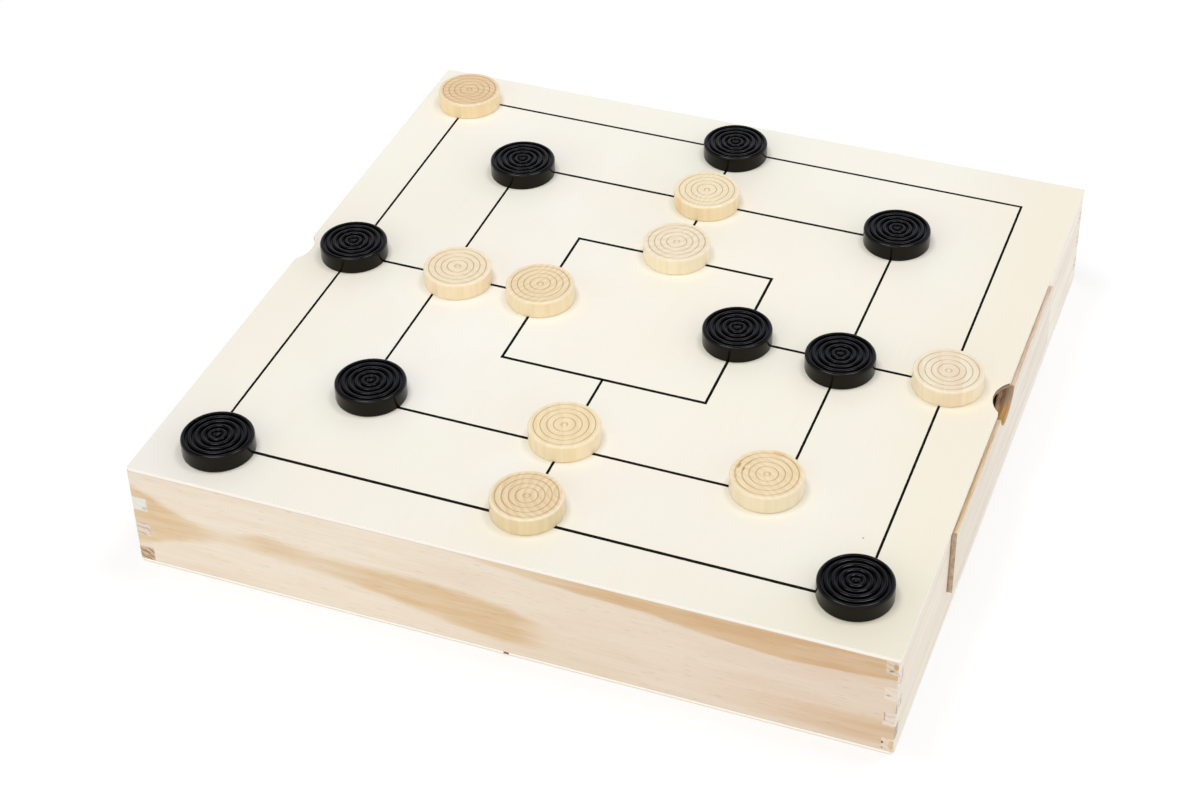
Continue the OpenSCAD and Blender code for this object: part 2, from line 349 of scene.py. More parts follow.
def front_pine():
    """The front wall, with the broad golden figure of one flat-sawn board."""
    k = Mat("pine_front_wall")
    x, y, z = k.xyz(k.pos)
    d = k.sub(TOP, z)                                   # depth below the top, mm
    drift = k.noise(k.vmul(k.pos, (0.035, 0.035, 0.22)), 1.0, 3.0, 0.55)
    small = k.noise(k.vmul(k.pos, (0.11, 0.11, 1.3)), 1.0, 2.0, 0.5)
    d = k.add(d, k.add(k.mul(k.sub(drift, 0.5), 3.0), k.mul(k.sub(small, 0.5), 1.8)))
    f = k.math("DIVIDE", k.add(x, HALF), 2 * HALF)

    def at(mm):
        return (mm + HALF) / (2 * HALF)

    def band(stops, soft_t, soft_b):
        r = k.ramp(f, [(at(a), (t / 50.0, b / 50.0, i)) for a, t, b, i in stops], "CARDINAL")
        t, b, i = k.rgb(r)
        t, b = k.mul(t, 50.0), k.mul(b, 50.0)
        upper = k.step(k.sub(d, t), -soft_t, soft_t)
        lower = k.step(k.sub(b, d), -soft_b, soft_b)
        return k.mul(k.mul(upper, lower), i)

    tongue = band([(-162, 9, 41, 0.75), (-150, 15, 37, 0.95), (-138, 20, 33, 0.85), (-127, 23, 30.5, 0.6),
                   (-117, 23, 29, 0.42), (-104, 20.5, 29.5, 0.72), (-92, 20.5, 30.5, 0.66), (-79, 22, 31.5, 0.55),
                   (-60, 22, 34, 0.78), (-44, 21.5, 36.5, 0.95), (-22, 22.5, 40, 1.0), (-4, 23.5, 43, 0.98),
                   (8, 26, 44, 0.85), (19, 29, 44, 0.34), (34, 31, 42, 0.12), (56, 33, 40, 0.16), (66, 34, 40, 0.0)],
                  2.4, 2.2)
    roof = band([(-40, 0, 2, 0.0), (-8, 0, 3.4, 0.45), (25, 0, 7.0, 0.85), (67, 0, 9.6, 1.0), (98, 0, 13.0, 1.0),
                 (129, 0, 14.2, 1.0), (162, 0, 11.8, 0.95)], 2.0, 1.0)
    root = band([(84, 37, 46, 0.0), (104, 36, 46, 0.22), (126, 34, 46.5, 0.42), (140, 33.5, 46.5, 0.62),
                 (162, 33.5, 46.5, 0.70)], 2.2, 1.8)
    haze = k.mul(k.step(k.noise(k.vmul(k.pos, (0.018, 0.018, 0.12)), 1.0, 2.0, 0.5), 0.45, 0.75), 0.22)
    figure = k.math("MAXIMUM", k.math("MAXIMUM", tongue, roof), k.math("MAXIMUM", root, haze))
    fine, wide, fleck = fibres(k, 0, 1.0)
    # the figure itself is made of long bands that run a little uphill
    lie = k.add(k.mul(d, 1.0), k.mul(x, 0.035))
    inner = k.noise(k.vec(k.mul(x, 0.012), 0.0, k.mul(lie, 0.33)), 1.0, 3.0, 0.55)
    figure = k.mul(figure, k.step(inner, 0.30, 0.62, 0.72, 1.08))
    figure = k.mul(figure, k.step(fine, 0.2, 0.75, 0.88, 1.05))
    base = k.mix(k.step(wide, 0.35, 0.7), PALE, PINK)
    base = k.mix(figure, base, k.mix(k.step(drift, 0.35, 0.65), TAN, DEEP))
    base = k.mix(k.mul(k.step(fine, 0.35, 0.8), 0.20), base, lin(214, 186, 150))
    base = k.mix(k.mul(fleck, 0.34), base, lin(186, 150, 110))
    base = k.mix(k.mul(k.step(x, -60.0, 150.0, smooth=False), 0.9), base, lin(242, 234, 230), "MULTIPLY")
    base = glue_line(k, base, z)
    nx, ny, nz = k.xyz(k.normal)
    ends = k.step(k.math("ABSOLUTE", nx), 0.55, 0.8)
    cut = end_grain(k, 0, 2.0, lin(240, 231, 219), lin(205, 184, 168), 0.55)
    # each finger end has one grey or reddish streak down it
    streak = k.noise(k.vmul(k.vadd(k.pos, (0.0, 3.0, 0.0)), (0.3, 0.42, 0.10)), 1.0, 1.0, 0.5)
    cut = k.mix(k.mul(k.step(streak, 0.48, 0.62), 0.8), cut, k.mix(k.step(z, 20, 30), lin(176, 160, 146), lin(198, 160, 146)))
    base = k.mix(ends, base, cut)
    h = k.add(k.mul(fine, 0.7), k.mul(fleck, -0.6))
    return k.finish(base, k.step(fine, 0.2, 0.8, 0.52, 0.64), k.bump(h, 0.00012, 0.5), Specular_IOR_Level=0.35)


def plain_pine(name, along, seed, pale, figure_col, amount=0.5, bump=0.5, ends_axis=1, cut=True, scale=1.0,
               rings=False):
    """Quiet pine for every other piece: wavy growth bands that follow the board's length.
    rings adds the nested pointed arches of a board sawn through the heart."""
    k = Mat(name)
    p = k.vadd(k.pos, (seed * 31.0, seed * 13.0, seed * 23.0))
    s = [0.17 * scale] * 3
    s[along] = 0.010 * scale
    band = k.noise(k.vmul(p, tuple(s)), 1.0, 3.0, 0.5, 0.6)
    band = k.step(band, 0.47, 0.68)
    if rings:
        q = [0.055, 0.055, 0.075]
        q[along] = 0.006
        heart = k.noise(k.vmul(p, tuple(q)), 1.0, 1.0, 0.4, 0.3)
        arch = k.math("FRACT", k.mul(heart, 15.0))
        arch = k.mul(k.step(arch, 0.25, 0.9), k.step(arch, 1.0, 0.92))
        band = k.math("MAXIMUM", k.mul(band, 0.6), arch)
    fine, wide, fleck = fibres(k, along, seed)
    c = k.mix(k.step(wide, 0.3, 0.7), pale, tuple(0.97 * a for a in pale))
    c = k.mix(k.mul(band, amount), c, figure_col)
    c = k.mix(k.mul(k.step(fine, 0.35, 0.8), 0.14), c, tuple(0.80 * a for a in figure_col))
    c = k.mix(k.mul(fleck, 0.25), c, tuple(0.62 * a for a in figure_col))
    if cut:
        n = k.xyz(k.normal)[ends_axis]
        ends = k.step(k.math("ABSOLUTE", n), 0.55, 0.8)
        tone = (tuple(0.95 * a for a in pale), tuple(0.80 * a for a in figure_col))
        c = k.mix(ends, c, end_grain(k, ends_axis, seed, tone[0], tone[1], 0.6))
    h = k.add(k.mul(fine, 0.7), k.mul(fleck, -0.6))
    return k.finish(c, k.step(fine, 0.2, 0.8, 0.54, 0.66), k.bump(h, 0.00012, bump), Specular_IOR_Level=0.35)


def white_pine(k, seed, along=1):
    """The very pale wood of the side walls and the drawer fronts: faint long grain."""
    p = k.vadd(k.pos, (seed * 31.0, seed * 13.0, seed * 23.0))
    s = [0.2, 0.2, 0.2]
    s[along] = 0.010
    band = k.step(k.noise(k.vmul(p, tuple(s)), 1.0, 3.0, 0.5, 0.6), 0.45, 0.68)
    fine, wide, fleck = fibres(k, along, seed)
    x, y, z = k.xyz(k.pos)
    near = k.step(y, 60.0, -160.0, smooth=False)        # painted shade: darker towards the near end, paler towards the back
    pale = k.mix(near, lin(252, 246, 232), lin(243, 233, 214))
    c = k.mix(k.mul(band, 0.55), pale, lin(230, 217, 194))
    c = k.mix(k.mul(k.step(wide, 0.35, 0.7), 0.40), c, lin(240, 229, 217))
    lane = k.noise(k.vmul(p, (0.55, 0.55, 0.55) if along is None else tuple(0.006 if i == along else 0.55 for i in range(3))), 1.0, 2.0, 0.5)
    c = k.mix(k.mul(k.step(lane, 0.50, 0.66), 0.45), c, lin(228, 219, 209))
    c = k.mix(k.mul(k.step(fine, 0.35, 0.8), 0.20), c, lin(206, 190, 172))
    c = k.mix(k.mul(fleck, 0.22), c, lin(180, 156, 130))
    return c, fine, fleck


def side_pine(name, seed, tones):
    """Left and right walls. Their finger ends, seen on the front and back, differ block by block.
    tones gives, from the lowest finger up, the wood, its lines and how strong they are."""
    k = Mat(name)
    c, fine, fleck = white_pine(k, seed)
    x, y, z = k.xyz(k.pos)
    level = k.math("DIVIDE", k.sub(z, BASE), 7 * STEP)
    stops_a, stops_b, stops_c = [], [], []
    for i, (a, b, amt) in enumerate(tones):
        at = max(0.0, (2 * i - 0.5) / 7)
        stops_a.append((at, a))
        stops_b.append((at, b))
        stops_c.append((at, (amt, amt, amt)))
    wood = k.ramp(level, stops_a, "CONSTANT")
    line = k.ramp(level, stops_b, "CONSTANT")
    amount = k.rgb(k.ramp(level, stops_c, "CONSTANT"))[0]
    grain = end_grain(k, 1, seed, wood, line, amount, 1.9)
    return k, c, fine, fleck, grain


def wall_material(name, seed, tones, marks):
    """marks draws the one-off knots and stains of single finger ends onto the cut."""
    k, c, fine, fleck, grain = side_pine(name, seed, tones)
    x, y, z = k.xyz(k.pos)
    d = k.sub(TOP, z)
    for mx, md, rx, rd, amt, col in marks:
        wob = k.noise(k.vmul(k.pos, (0.9, 0.9, 0.9)), 1.0, 2.0, 0.6)
        u = k.math("DIVIDE", k.sub(x, mx), rx)
        v = k.math("DIVIDE", k.sub(d, md), rd)
        r = k.math("SQRT", k.add(k.mul(u, u), k.mul(v, v)))
        r = k.add(r, k.mul(k.sub(wob, 0.5), 0.9))
        grain = k.mix(k.mul(k.step(r, 1.15, 0.65), amt), grain, col)
    nx, ny, nz = k.xyz(k.normal)
    c = k.mix(k.step(k.math("ABSOLUTE", ny), 0.55, 0.8), c, grain)
    c = glue_line(k, c, z)
    h = k.add(k.mul(fine, 0.7), k.mul(fleck, -0.6))
    return k.finish(c, k.step(fine, 0.2, 0.8, 0.50, 0.62), k.bump(h, 0.00012, 0.45), Specular_IOR_Level=0.35)


def drawer_front_pine(name, seed, out, side):
    """Pale face, with golden sawn top edge, ends and finger scoop. out is the x of the
    outer face in mm, and side is +1 or -1."""
    k = Mat(name)
    c, fine, fleck = white_pine(k, seed)
    p = k.vadd(k.pos, (seed * 31.0, seed * 13.0, seed * 23.0))
    x, y, z = k.xyz(k.pos)
    nx, ny, nz = k.xyz(k.normal)
    deep = k.mul(k.sub(out, x), side)                   # mm in from the outer face
    sawn = k.step(k.math("ABSOLUTE", nx), 0.85, 0.55)
    # the strip along the top: golden at the near end, creamy at the far end
    streak = k.noise(k.vmul(p, (1.5, 0.06, 1.5)), 1.0, 3.0, 0.6)
    strip = k.mix(k.step(y, 30.0, -50.0), lin(240, 219, 198), lin(232, 208, 168))
    strip = k.mix(k.mul(k.step(streak, 0.42, 0.62), 0.60), strip, lin(200, 166, 118))
    patch = k.noise(k.vmul(p, (0.4, 0.035, 0.4)), 1.0, 2.0, 0.5)
    strip = k.mix(k.mul(k.step(patch, 0.48, 0.66), 0.45), strip, lin(190, 154, 106))
    # the scoop: bands at one depth, taupe on the far flank, golden on the near one
    wave = k.add(deep, k.mul(k.sub(k.noise(k.vmul(p, (0.1, 0.25, 0.25)), 1.0, 2.0, 0.5), 0.5), 1.4))
    wave = k.math("DIVIDE", wave, 6.4)
    taupe = k.ramp(wave, [(0.0, lin(206, 182, 156)), (0.22, lin(184, 154, 124)), (0.5, lin(176, 146, 116)),
                          (0.68, lin(146, 114, 82)), (0.80, lin(206, 178, 154))])
    gold = k.ramp(wave, [(0.0, lin(222, 190, 140)), (0.18, lin(200, 152, 90)), (0.45, lin(214, 166, 102)),
                         (0.62, lin(168, 120, 62)), (0.74, lin(208, 162, 104)), (0.9, lin(214, 182, 140))])
    hair = k.noise(k.vec(k.mul(deep, 2.6), 4.0, k.mul(y, 0.05)), 1.0, 2.0, 0.6)
    scoop = k.mix(k.step(y, 9.5, 4.5), taupe, gold)
    scoop = k.mix(k.mul(k.step(hair, 0.45, 0.62), 0.50), scoop, lin(134, 98, 56))
    # painted shade deep in the scoop's far flank, where it runs under the top board
    dark = k.mul(k.step(k.far(k.pos, (out - side * 5.2, 11.8, 46.5)), 2.6, 0.8), 0.55)
    scoop = k.mix(dark, scoop, lin(108, 98, 74))
    in_scoop = k.mul(k.step(k.math("ABSOLUTE", k.sub(y, 0.5)), 13.0, 12.6), k.step(z, 48.0, 47.9))
    edge = k.mix(in_scoop, strip, scoop)
    # the two ends are darker, with specks where the grain opens; the part of each end that sits inside the opening gets
    # painted shade
    cut_face_tone = k.mix(k.step(k.noise(k.vmul(p, (0.9, 0.9, 0.30)), 1.0, 3.0, 0.6), 0.35, 0.7), lin(204, 180, 158), lin(172, 142, 118))
    # painted shade on the part of the end that sits back inside the wall's opening
    cut_face_tone = k.mix(k.mul(k.step(deep, 1.2, 2.3), 0.6), cut_face_tone, lin(146, 128, 100))
    specks = k.step(k.noise(k.vmul(p, (2.2, 2.2, 1.2)), 1.0, 2.0, 0.6), 0.60, 0.70)
    cut_face_tone = k.mix(k.mul(specks, 0.5), cut_face_tone, lin(124, 98, 74))
    edge = k.mix(k.step(k.math("ABSOLUTE", k.sub(y, 1.0)), 80.0, 82.0), edge, k.mix(k.step(k.math("ABSOLUTE", ny), 0.4, 0.8), strip, cut_face_tone))
    c = k.mix(1.0, c, (0.940, 0.928, 0.922), "MULTIPLY")
    c = k.mix(sawn, c, edge)
    h = k.add(k.mul(fine, 0.7), k.mul(fleck, -0.6))
    return k.finish(c, k.step(fine, 0.2, 0.8, 0.50, 0.62), k.bump(h, 0.00012, 0.5), Specular_IOR_Level=0.35)


# ------------------------------------------------------------------ boards

def board_top():
    """Cream-coated ply, with its bare edge."""
    k = Mat("cream_coated_ply")
    x, y, z = k.xyz(k.pos)
    a = k.noise(k.vmul(k.pos, (0.016, 0.010, 0.01)), 1.0, 2.0, 0.5, 0.4)
    b = k.noise(k.vadd(k.vmul(k.pos, (0.024, 0.018, 0.02)), (7.0, 3.0, 0.0)), 1.0, 2.0, 0.5)
    c = k.mix(k.step(a, 0.32, 0.68), lin(247, 244, 234), lin(243, 240, 226))
    c = k.mix(k.mul(k.step(b, 0.35, 0.7), 0.55), c, lin(246, 237, 222))
    c = k.mix(k.mul(k.step(k.far(k.vmul(k.pos, (1.0, 1.0, 0.0)), (55.0, 5.0, 0.0)), 115.0, 45.0), 0.75), c, lin(246, 241, 224))
    # creamier towards the rims, a touch greener at the near left
    rim = k.step(k.math("MAXIMUM", k.math("ABSOLUTE", x), k.math("ABSOLUTE", y)), 105.0, 160.0)
    away = k.mul(k.step(y, 0.0, 110.0), k.step(x, 140.0, 90.0))
    c = k.mix(k.mul(rim, 0.7), c, k.mix(away, lin(241, 236, 219), lin(247, 243, 229)))
    c = k.mix(k.mul(k.step(x, 110.0, 158.0), 0.45), c, lin(246, 236, 211))
    # painted shade: darker and yellower towards the two near corners, where the light falls off
    near_corner_shade = k.mul(k.step(k.add(k.math("ABSOLUTE", x), k.math("ABSOLUTE", y)), 225.0, 312.0), k.step(y, -70.0, -140.0))
    c = k.mix(k.mul(near_corner_shade, 0.8), c, k.mix(k.step(x, -40.0, 40.0), lin(240, 236, 228), lin(235, 230, 208)))
    grain = k.noise(k.vmul(k.pos, (1.1, 0.03, 1.0)), 1.0, 3.0, 0.6)
    c = k.mix(k.mul(k.step(grain, 0.45, 0.8), 0.08), c, lin(230, 216, 190))
    speck = k.step(k.far(k.pos, (131.0, -103.0, TOP)), 0.5, 0.3)
    c = k.mix(k.mul(speck, 0.7), c, lin(120, 104, 84))
    nz = k.xyz(k.normal)[2]
    layer = k.math("PINGPONG", k.sub(z, 49.0), 0.66)
    edge = k.mix(k.step(layer, 0.15, 0.5), lin(254, 252, 246), lin(251, 245, 236))
    edge = k.mix(k.mul(k.noise(k.vmul(k.pos, (0.8, 0.8, 4.0)), 1.0, 2.0, 0.5), 0.35), edge, lin(240, 228, 212))
    # painted shade along the lower part of the board's edge
    edge = k.mix(k.mul(k.step(z, 49.5, 49.1), 0.5), edge, lin(206, 186, 162))
    notch = k.step(k.math("MINIMUM", k.far(k.pos, (172.0, -0.5, 50.0)), k.far(k.pos, (-172.0, -0.5, 50.0))), 14.6, 14.3)
    cut_face_tone = k.mix(k.step(k.noise(k.vmul(k.pos, (0.7, 0.7, 3.0)), 1.0, 2.0, 0.5), 0.35, 0.65), lin(176, 144, 112), lin(138, 106, 76))
    edge = k.mix(notch, edge, k.mix(k.step(z, 50.0, 50.6), cut_face_tone, lin(108, 78, 52)))
    c = k.mix(k.step(nz, 0.35, 0.15), c, edge)
    arris_highlight_mask = k.mul(k.mul(k.step(nz, 0.20, 0.45), k.step(nz, 0.992, 0.93)), k.sub(1.0, notch))
    c = k.mix(k.mul(arris_highlight_mask, 0.85), c, lin(254, 252, 246))    # painted highlight: a white line along the eased arris
    c = k.mix(k.mul(k.mul(k.step(nz, 0.20, 0.35), k.step(nz, 0.9, 0.7)), notch), c, lin(120, 90, 60))
    peel = k.noise(k.vmul(k.pos, (1.7, 1.7, 1.7)), 1.0, 2.0, 0.5)
    h = k.add(k.mul(peel, 0.35), k.mul(grain, 0.5))
    return k.finish(c, k.step(peel, 0.3, 0.7, 0.42, 0.50), k.bump(h, 0.00006, 0.4), Specular_IOR_Level=0.3)


def ply(name, along, seed, void=False):
    """Bare ply: rotary-cut face and a layered edge."""
    k = Mat(name)
    p = k.vadd(k.pos, (seed * 11.0, seed * 29.0, seed * 3.0))
    s = [0.05, 0.05, 0.05]
    s[along] = 0.006
    wave = k.noise(k.vmul(p, tuple(s)), 1.0, 3.0, 0.55, 1.2)
    rings = k.math("SINE", k.mul(wave, 62.0))
    fine, wide, fleck = fibres(k, along, seed, 30.0)
    c = k.mix(k.mul(k.step(rings, -0.2, 1.0), 0.30), lin(238, 224, 200), lin(220, 193, 153))
    c = k.mix(k.mul(k.step(fine, 0.35, 0.8), 0.18), c, lin(204, 174, 134))
    c = k.mix(k.mul(fleck, 0.3), c, lin(168, 134, 96))
    x, y, z = k.xyz(k.pos)
    nz = k.xyz(k.normal)[2]
    layer = k.math("PINGPONG", k.add(z, 0.1), 0.6)
    edge = k.mix(k.step(layer, 0.15, 0.5), lin(255, 253, 249), lin(250, 246, 239))
    # painted contact shade: darker along the lowest half millimetre of the edge, next to the floor
    edge = k.mix(k.mul(k.step(z, 0.55, 0.25), 0.8), edge, lin(226, 206, 180))
    if void:
        # a small dark void in the front edge, as ply has
        hole = k.mul(k.hump(x, 2.8, 0.9, 0.5), k.mul(k.hump(z, 0.9, 0.35, 0.3), k.step(y, -158.0, -160.0)))
        edge = k.mix(hole, edge, lin(136, 84, 60))
    c = k.mix(k.step(k.math("ABSOLUTE", nz), 0.75, 0.45), c, edge)
    return k.finish(c, k.step(fine, 0.2, 0.8, 0.55, 0.68), k.bump(k.add(fine, k.mul(fleck, -0.8)), 0.00012, 0.5),
                    Specular_IOR_Level=0.35)


def ink():
    k = Mat("printing_ink")
    n = k.noise(k.vmul(k.pos, (2.5, 2.5, 2.5)), 1.0, 3.0, 0.6)
    c = k.mix(k.step(n, 0.3, 0.7), (0.0050, 0.0043, 0.0027), (0.0090, 0.0080, 0.0052))
    return k.finish(c, k.step(n, 0.3, 0.7, 0.60, 0.72), k.bump(n, 0.00002, 0.3), Specular_IOR_Level=0.06)


# ------------------------------------------------------------------ men

MAN_R, MAN_H = 15.15, 7.8
PITCH = 0.182 * MAN_R
GROOVES = [MAN_R * 0.843 - PITCH * (4 - i) for i in range(5)]


def man_profile(depth, half, rim, crown, nib, hollow):
    """Half section, from the middle of the underside up and over to the middle of the top, mm.
    The grooves have steep walls and are half to each side of their middle; the beads
    between them are crowned by crown. The innermost groove runs from nib to hollow."""
    p = [(0.0, 0.0), (6.0, 0.0), (12.0, 0.0), (MAN_R - 0.5, 0.0)]
    for i in range(1, 5):
        a = math.radians(-90 + 22.5 * i)
        p.append((MAN_R - 0.45 + 0.45 * math.cos(a), 0.45 + 0.45 * math.sin(a)))
    for z in (1.6, 3.2, 4.8, 6.2):
        p.append((MAN_R, z))
    for i in range(0, 11):
        a = math.radians(9 * i)
        p.append((MAN_R - rim + rim * math.cos(a), MAN_H - rim + rim * math.sin(a)))
    g = GROOVES
    deep = MAN_H - 0.03 - depth
    r0 = MAN_R - rim

    def bead(outer, inner):
        """From the top of the wall at outer to the top of the wall at inner."""
        mid, w = (outer + inner) / 2, abs(outer - inner) / 2
        for q in (1.0, 0.96, 0.88, 0.74, 0.55, 0.3, 0.0, -0.3, -0.55, -0.74, -0.88, -0.96, -1.0):
            drop = crown * q * q + (0.10 if abs(q) == 1.0 else 0.025 if abs(q) > 0.95 else 0.0)
            p.append((mid + math.copysign(w, outer - inner) * q, MAN_H - 0.03 - drop))

    for q in (0.25, 0.5, 0.75, 0.9):
        p.append((r0 + (g[4] + half - r0) * q, MAN_H - crown * 0.5 * q * q))
    p.append((g[4] + half, MAN_H - 0.12 - crown * 0.5))
    for k in range(4, 0, -1):
        for q in (0.86, 0.55, -0.55, -0.86):
            p.append((g[k] + half * q, deep + (0.12 if abs(q) > 0.6 else 0.0)))
        bead(g[k] - half, g[k - 1] + half if k > 1 else hollow)
    for q in (0.93, 0.75, 0.25, 0.07):
        p.append((nib + (hollow - nib) * q, deep + (0.12 if abs(q - 0.5) > 0.3 else 0.0)))
    # the small round nib in the middle
    for a in (0, 25, 50, 70, 90):
        p.append((nib * math.cos(math.radians(a)), MAN_H - 0.55 + 0.5 * math.sin(math.radians(a))))
    p[-1] = (0.0, p[-1][1])
    return p


def lathe(name, profile, seg=144):
    """Turns a half section about Z. Points on the axis become one vertex."""
    bm = bmesh.new()
    rings = []
    for r, z in profile:
        if r < 1e-6:
            rings.append([bm.verts.new((0, 0, z * MM))])
        else:
            rings.append([bm.verts.new((r * MM * math.cos(2 * math.pi * i / seg),
                                        r * MM * math.sin(2 * math.pi * i / seg), z * MM)) for i in range(seg)])
    for a, b in zip(rings, rings[1:]):
        for i in range(seg):
            j = (i + 1) % seg
            if len(a) == 1 and len(b) > 1:
                bm.faces.new((a[0], b[j], b[i]))
            elif len(b) == 1 and len(a) > 1:
                bm.faces.new((a[i], a[j], b[0]))
            elif len(a) > 1:
                bm.faces.new((a[i], a[j], b[j], b[i]))
    bmesh.ops.recalc_face_normals(bm, faces=bm.faces)
    me = bpy.data.meshes.new(name)
    bm.to_mesh(me)
    bm.free()
    me.polygons.foreach_set("use_smooth", [True] * len(me.polygons))
    return me


# Each light man is turned from another place in the tree: pale wood, late wood, the wood on its
# side, how strong the rings are, which way they run in degrees, how far off their middle lies and
# their pitch in mm
LIGHT_MEN = {
    1: ((235, 209, 167), (207, 165, 114), (252, 228, 182), 0.50, 100, 24, 2.6),
    2: ((245, 232, 199), (228, 203, 156), (252, 230, 190), 0.35, 160, 34, 2.2),
    3: ((244, 232, 205), (224, 202, 165), (255, 242, 210), 0.40, -50, 90, 3.6),
    4: ((244, 229, 198), (231, 206, 166), (254, 234, 198), 0.35, 80, 60, 4.6),
    5: ((243, 224, 186), (222, 191, 141), (252, 232, 193), 0.45, -25, 70, 2.9),
    6: ((243, 234, 210), (231, 210, 175), (249, 232, 200), 0.50, 18, 110, 8.5),
    7: ((244, 226, 186), (229, 203, 152), (255, 237, 200), 0.40, 20, 80, 5.5),
    8: ((242, 224, 186), (221, 189, 134), (249, 235, 205), 0.35, 62, 40, 3.1),
    9: ((238, 217, 178), (210, 177, 127), (237, 217, 176), 0.45, 205, 17, 3.0),
}


def light_wood(i):
    """Pale turned hardwood. Growth rings run through it upright, so the top shows
    arcs and the side shows upright streaks."""
    pale, late, flank, amount, turn, away, pitch = LIGHT_MEN[i]
    k = Mat("light_man_wood_%d" % i)
    turn = math.radians(turn)
    x, y, z = k.xyz(k.pos)
    px = k.add(k.add(k.mul(x, math.cos(turn)), k.mul(y, math.sin(turn))), float(away))
    py = k.sub(k.mul(y, math.cos(turn)), k.mul(x, math.sin(turn)))
    wob = k.noise(k.vadd(k.vmul(k.pos, (0.09, 0.09, 0.02)), (i * 3.7, i * 1.9, 0.0)), 1.0, 2.0, 0.5)
    rad = k.math("SQRT", k.add(k.mul(px, px), k.mul(py, py)))
    rad = k.add(rad, k.mul(wob, 5.0))
    wave = k.math("FRACT", k.math("DIVIDE", rad, float(pitch)))
    ring = k.mul(k.step(wave, 0.15, 0.92), k.step(wave, 1.0, 0.93))
    broad = k.step(k.noise(k.vadd(k.vmul(k.pos, (0.10, 0.10, 0.015)), (i * 9.1, 2.0, 0.0)), 1.0, 1.0, 0.5), 0.35, 0.7)
    fine = k.noise(k.vadd(k.vmul(k.pos, (2.2, 2.2, 0.10)), (i * 1.3, 0.0, i * 2.0)), 1.0, 3.0, 0.6)
    c = k.mix(k.mul(ring, amount), lin(*pale), lin(*late))
    c = k.mix(k.mul(broad, 0.35), c, lin(*[0.45 * p + 0.55 * q for p, q in zip(pale, late)]))
    c = k.mix(k.mul(k.step(fine, 0.4, 0.85), 0.20), c, lin(208, 172, 126))
    nz = k.xyz(k.normal)[2]
    rho = k.math("SQRT", k.add(k.mul(x, x), k.mul(y, y)))
    c = k.mix(k.mul(k.step(rho, 12.8, 14.6), 0.42 if i in (1, 9) else 0.18), c, lin(247, 232, 202))
    # a thin painted highlight all round the rounded rim
    c = k.mix(k.mul(k.hump(rho, 14.45, 0.25, 0.35), 0.30), c, lin(252, 242, 222))
    side = k.mul(k.step(k.math("ABSOLUTE", nz), 0.7, 0.25), k.step(rho, MAN_R - 0.8, MAN_R - 0.4))
    c = k.mix(k.mul(side, 0.85), c, lin(*flank))
    pole = k.step(k.noise(k.vmul(k.vadd(k.pos, (i * 5.0, 0.0, 0.0)), (0.35, 0.35, 0.01)), 1.0, 2.0, 0.5), 0.40, 0.65)
    c = k.mix(k.mul(k.mul(side, pole), 0.45), c, lin(0.955 * flank[0], 0.925 * flank[1], 0.88 * flank[2]))
    if i == 8:                                           # brown flecks on the left and a golden patch at the back
        polar = k.math("ARCTAN2", y, k.mul(x, -1.0))        # 0 at the left, in radians
        for ca, cr, wide, deep, amt in ((0.10, 12.1, 2.1, 0.62, 0.85), (-0.03, 9.7, 1.7, 0.50, 0.85), (0.42, 9.5, 2.6, 0.40, 0.45),
                                        (0.30, 12.8, 2.0, 0.40, 0.40), (-0.40, 12.2, 1.6, 0.35, 0.30)):
            du = k.math("DIVIDE", k.mul(k.sub(polar, ca), cr), wide)
            dv = k.math("DIVIDE", k.sub(rho, cr), deep)
            off = k.math("SQRT", k.add(k.mul(du, du), k.mul(dv, dv)))
            off = k.add(off, k.mul(k.sub(k.noise(k.vmul(k.pos, (1.1, 1.1, 1.1)), 1.0, 2.0, 0.6), 0.5), 0.8))
            c = k.mix(k.mul(k.step(off, 1.1, 0.45), amt), c, lin(176, 128, 66))
        c = k.mix(k.mul(k.step(k.far(k.vmul(k.pos, (0.5, 1.0, 0.0)), (0.5, 13.0, 0.0)), 2.2, 0.8), 0.5), c, lin(226, 178, 118))
    if i == 2:                                           # an orange patch low on the near side
        c = k.mix(k.mul(k.step(k.far(k.vmul(k.pos, (1.0, 1.0, 0.6)), (-10.2, -11.2, 2.0)), 5.0, 1.5), 0.6), c, lin(240, 200, 146))
    if i == 6:                                           # one tan band across the middle
        c = k.mix(k.mul(k.hump(k.add(k.mul(x, 0.93), k.mul(y, 0.36)), 0.5, 2.6, 2.0), 0.4), c, lin(236, 208, 180))
    # painted shade along the grooves, strongest on the left and right sides of each man
    near = k.math("ABSOLUTE", k.sub(k.math("FLOORED_MODULO", k.add(k.sub(rho, GROOVES[4]), PITCH * 5.5), PITCH), PITCH * 0.5))
    near = k.math("MINIMUM", k.add(near, k.step(rho, 3.0, 2.9, 0.0, 9.0)), k.math("ABSOLUTE", k.sub(rho, 1.3)))
    cut = k.mul(k.step(near, 0.32, 0.14), k.mul(k.step(z, MAN_H - 0.9, MAN_H - 0.7), k.step(rho, 13.5, 13.3)))
    across = k.step(k.math("ABSOLUTE", k.math("DIVIDE", k.add(k.mul(x, 0.94), k.mul(y, 0.34)), k.add(rho, 0.01))), 0.0, 0.8, 0.55, 1.0)
    c = k.mix(k.mul(k.mul(cut, across), 0.50), c, lin(192, 152, 98))
    lathe_marks = k.math("SINE", k.mul(rho, 26.0))
    h = k.add(k.mul(fine, 0.8), k.mul(lathe_marks, 0.08))
    return k.finish(c, k.step(fine, 0.3, 0.8, 0.36, 0.48), k.bump(h, 0.00006, 0.5), Coat_Weight=0.35, Coat_Roughness=0.16,
                    Specular_IOR_Level=0.35)


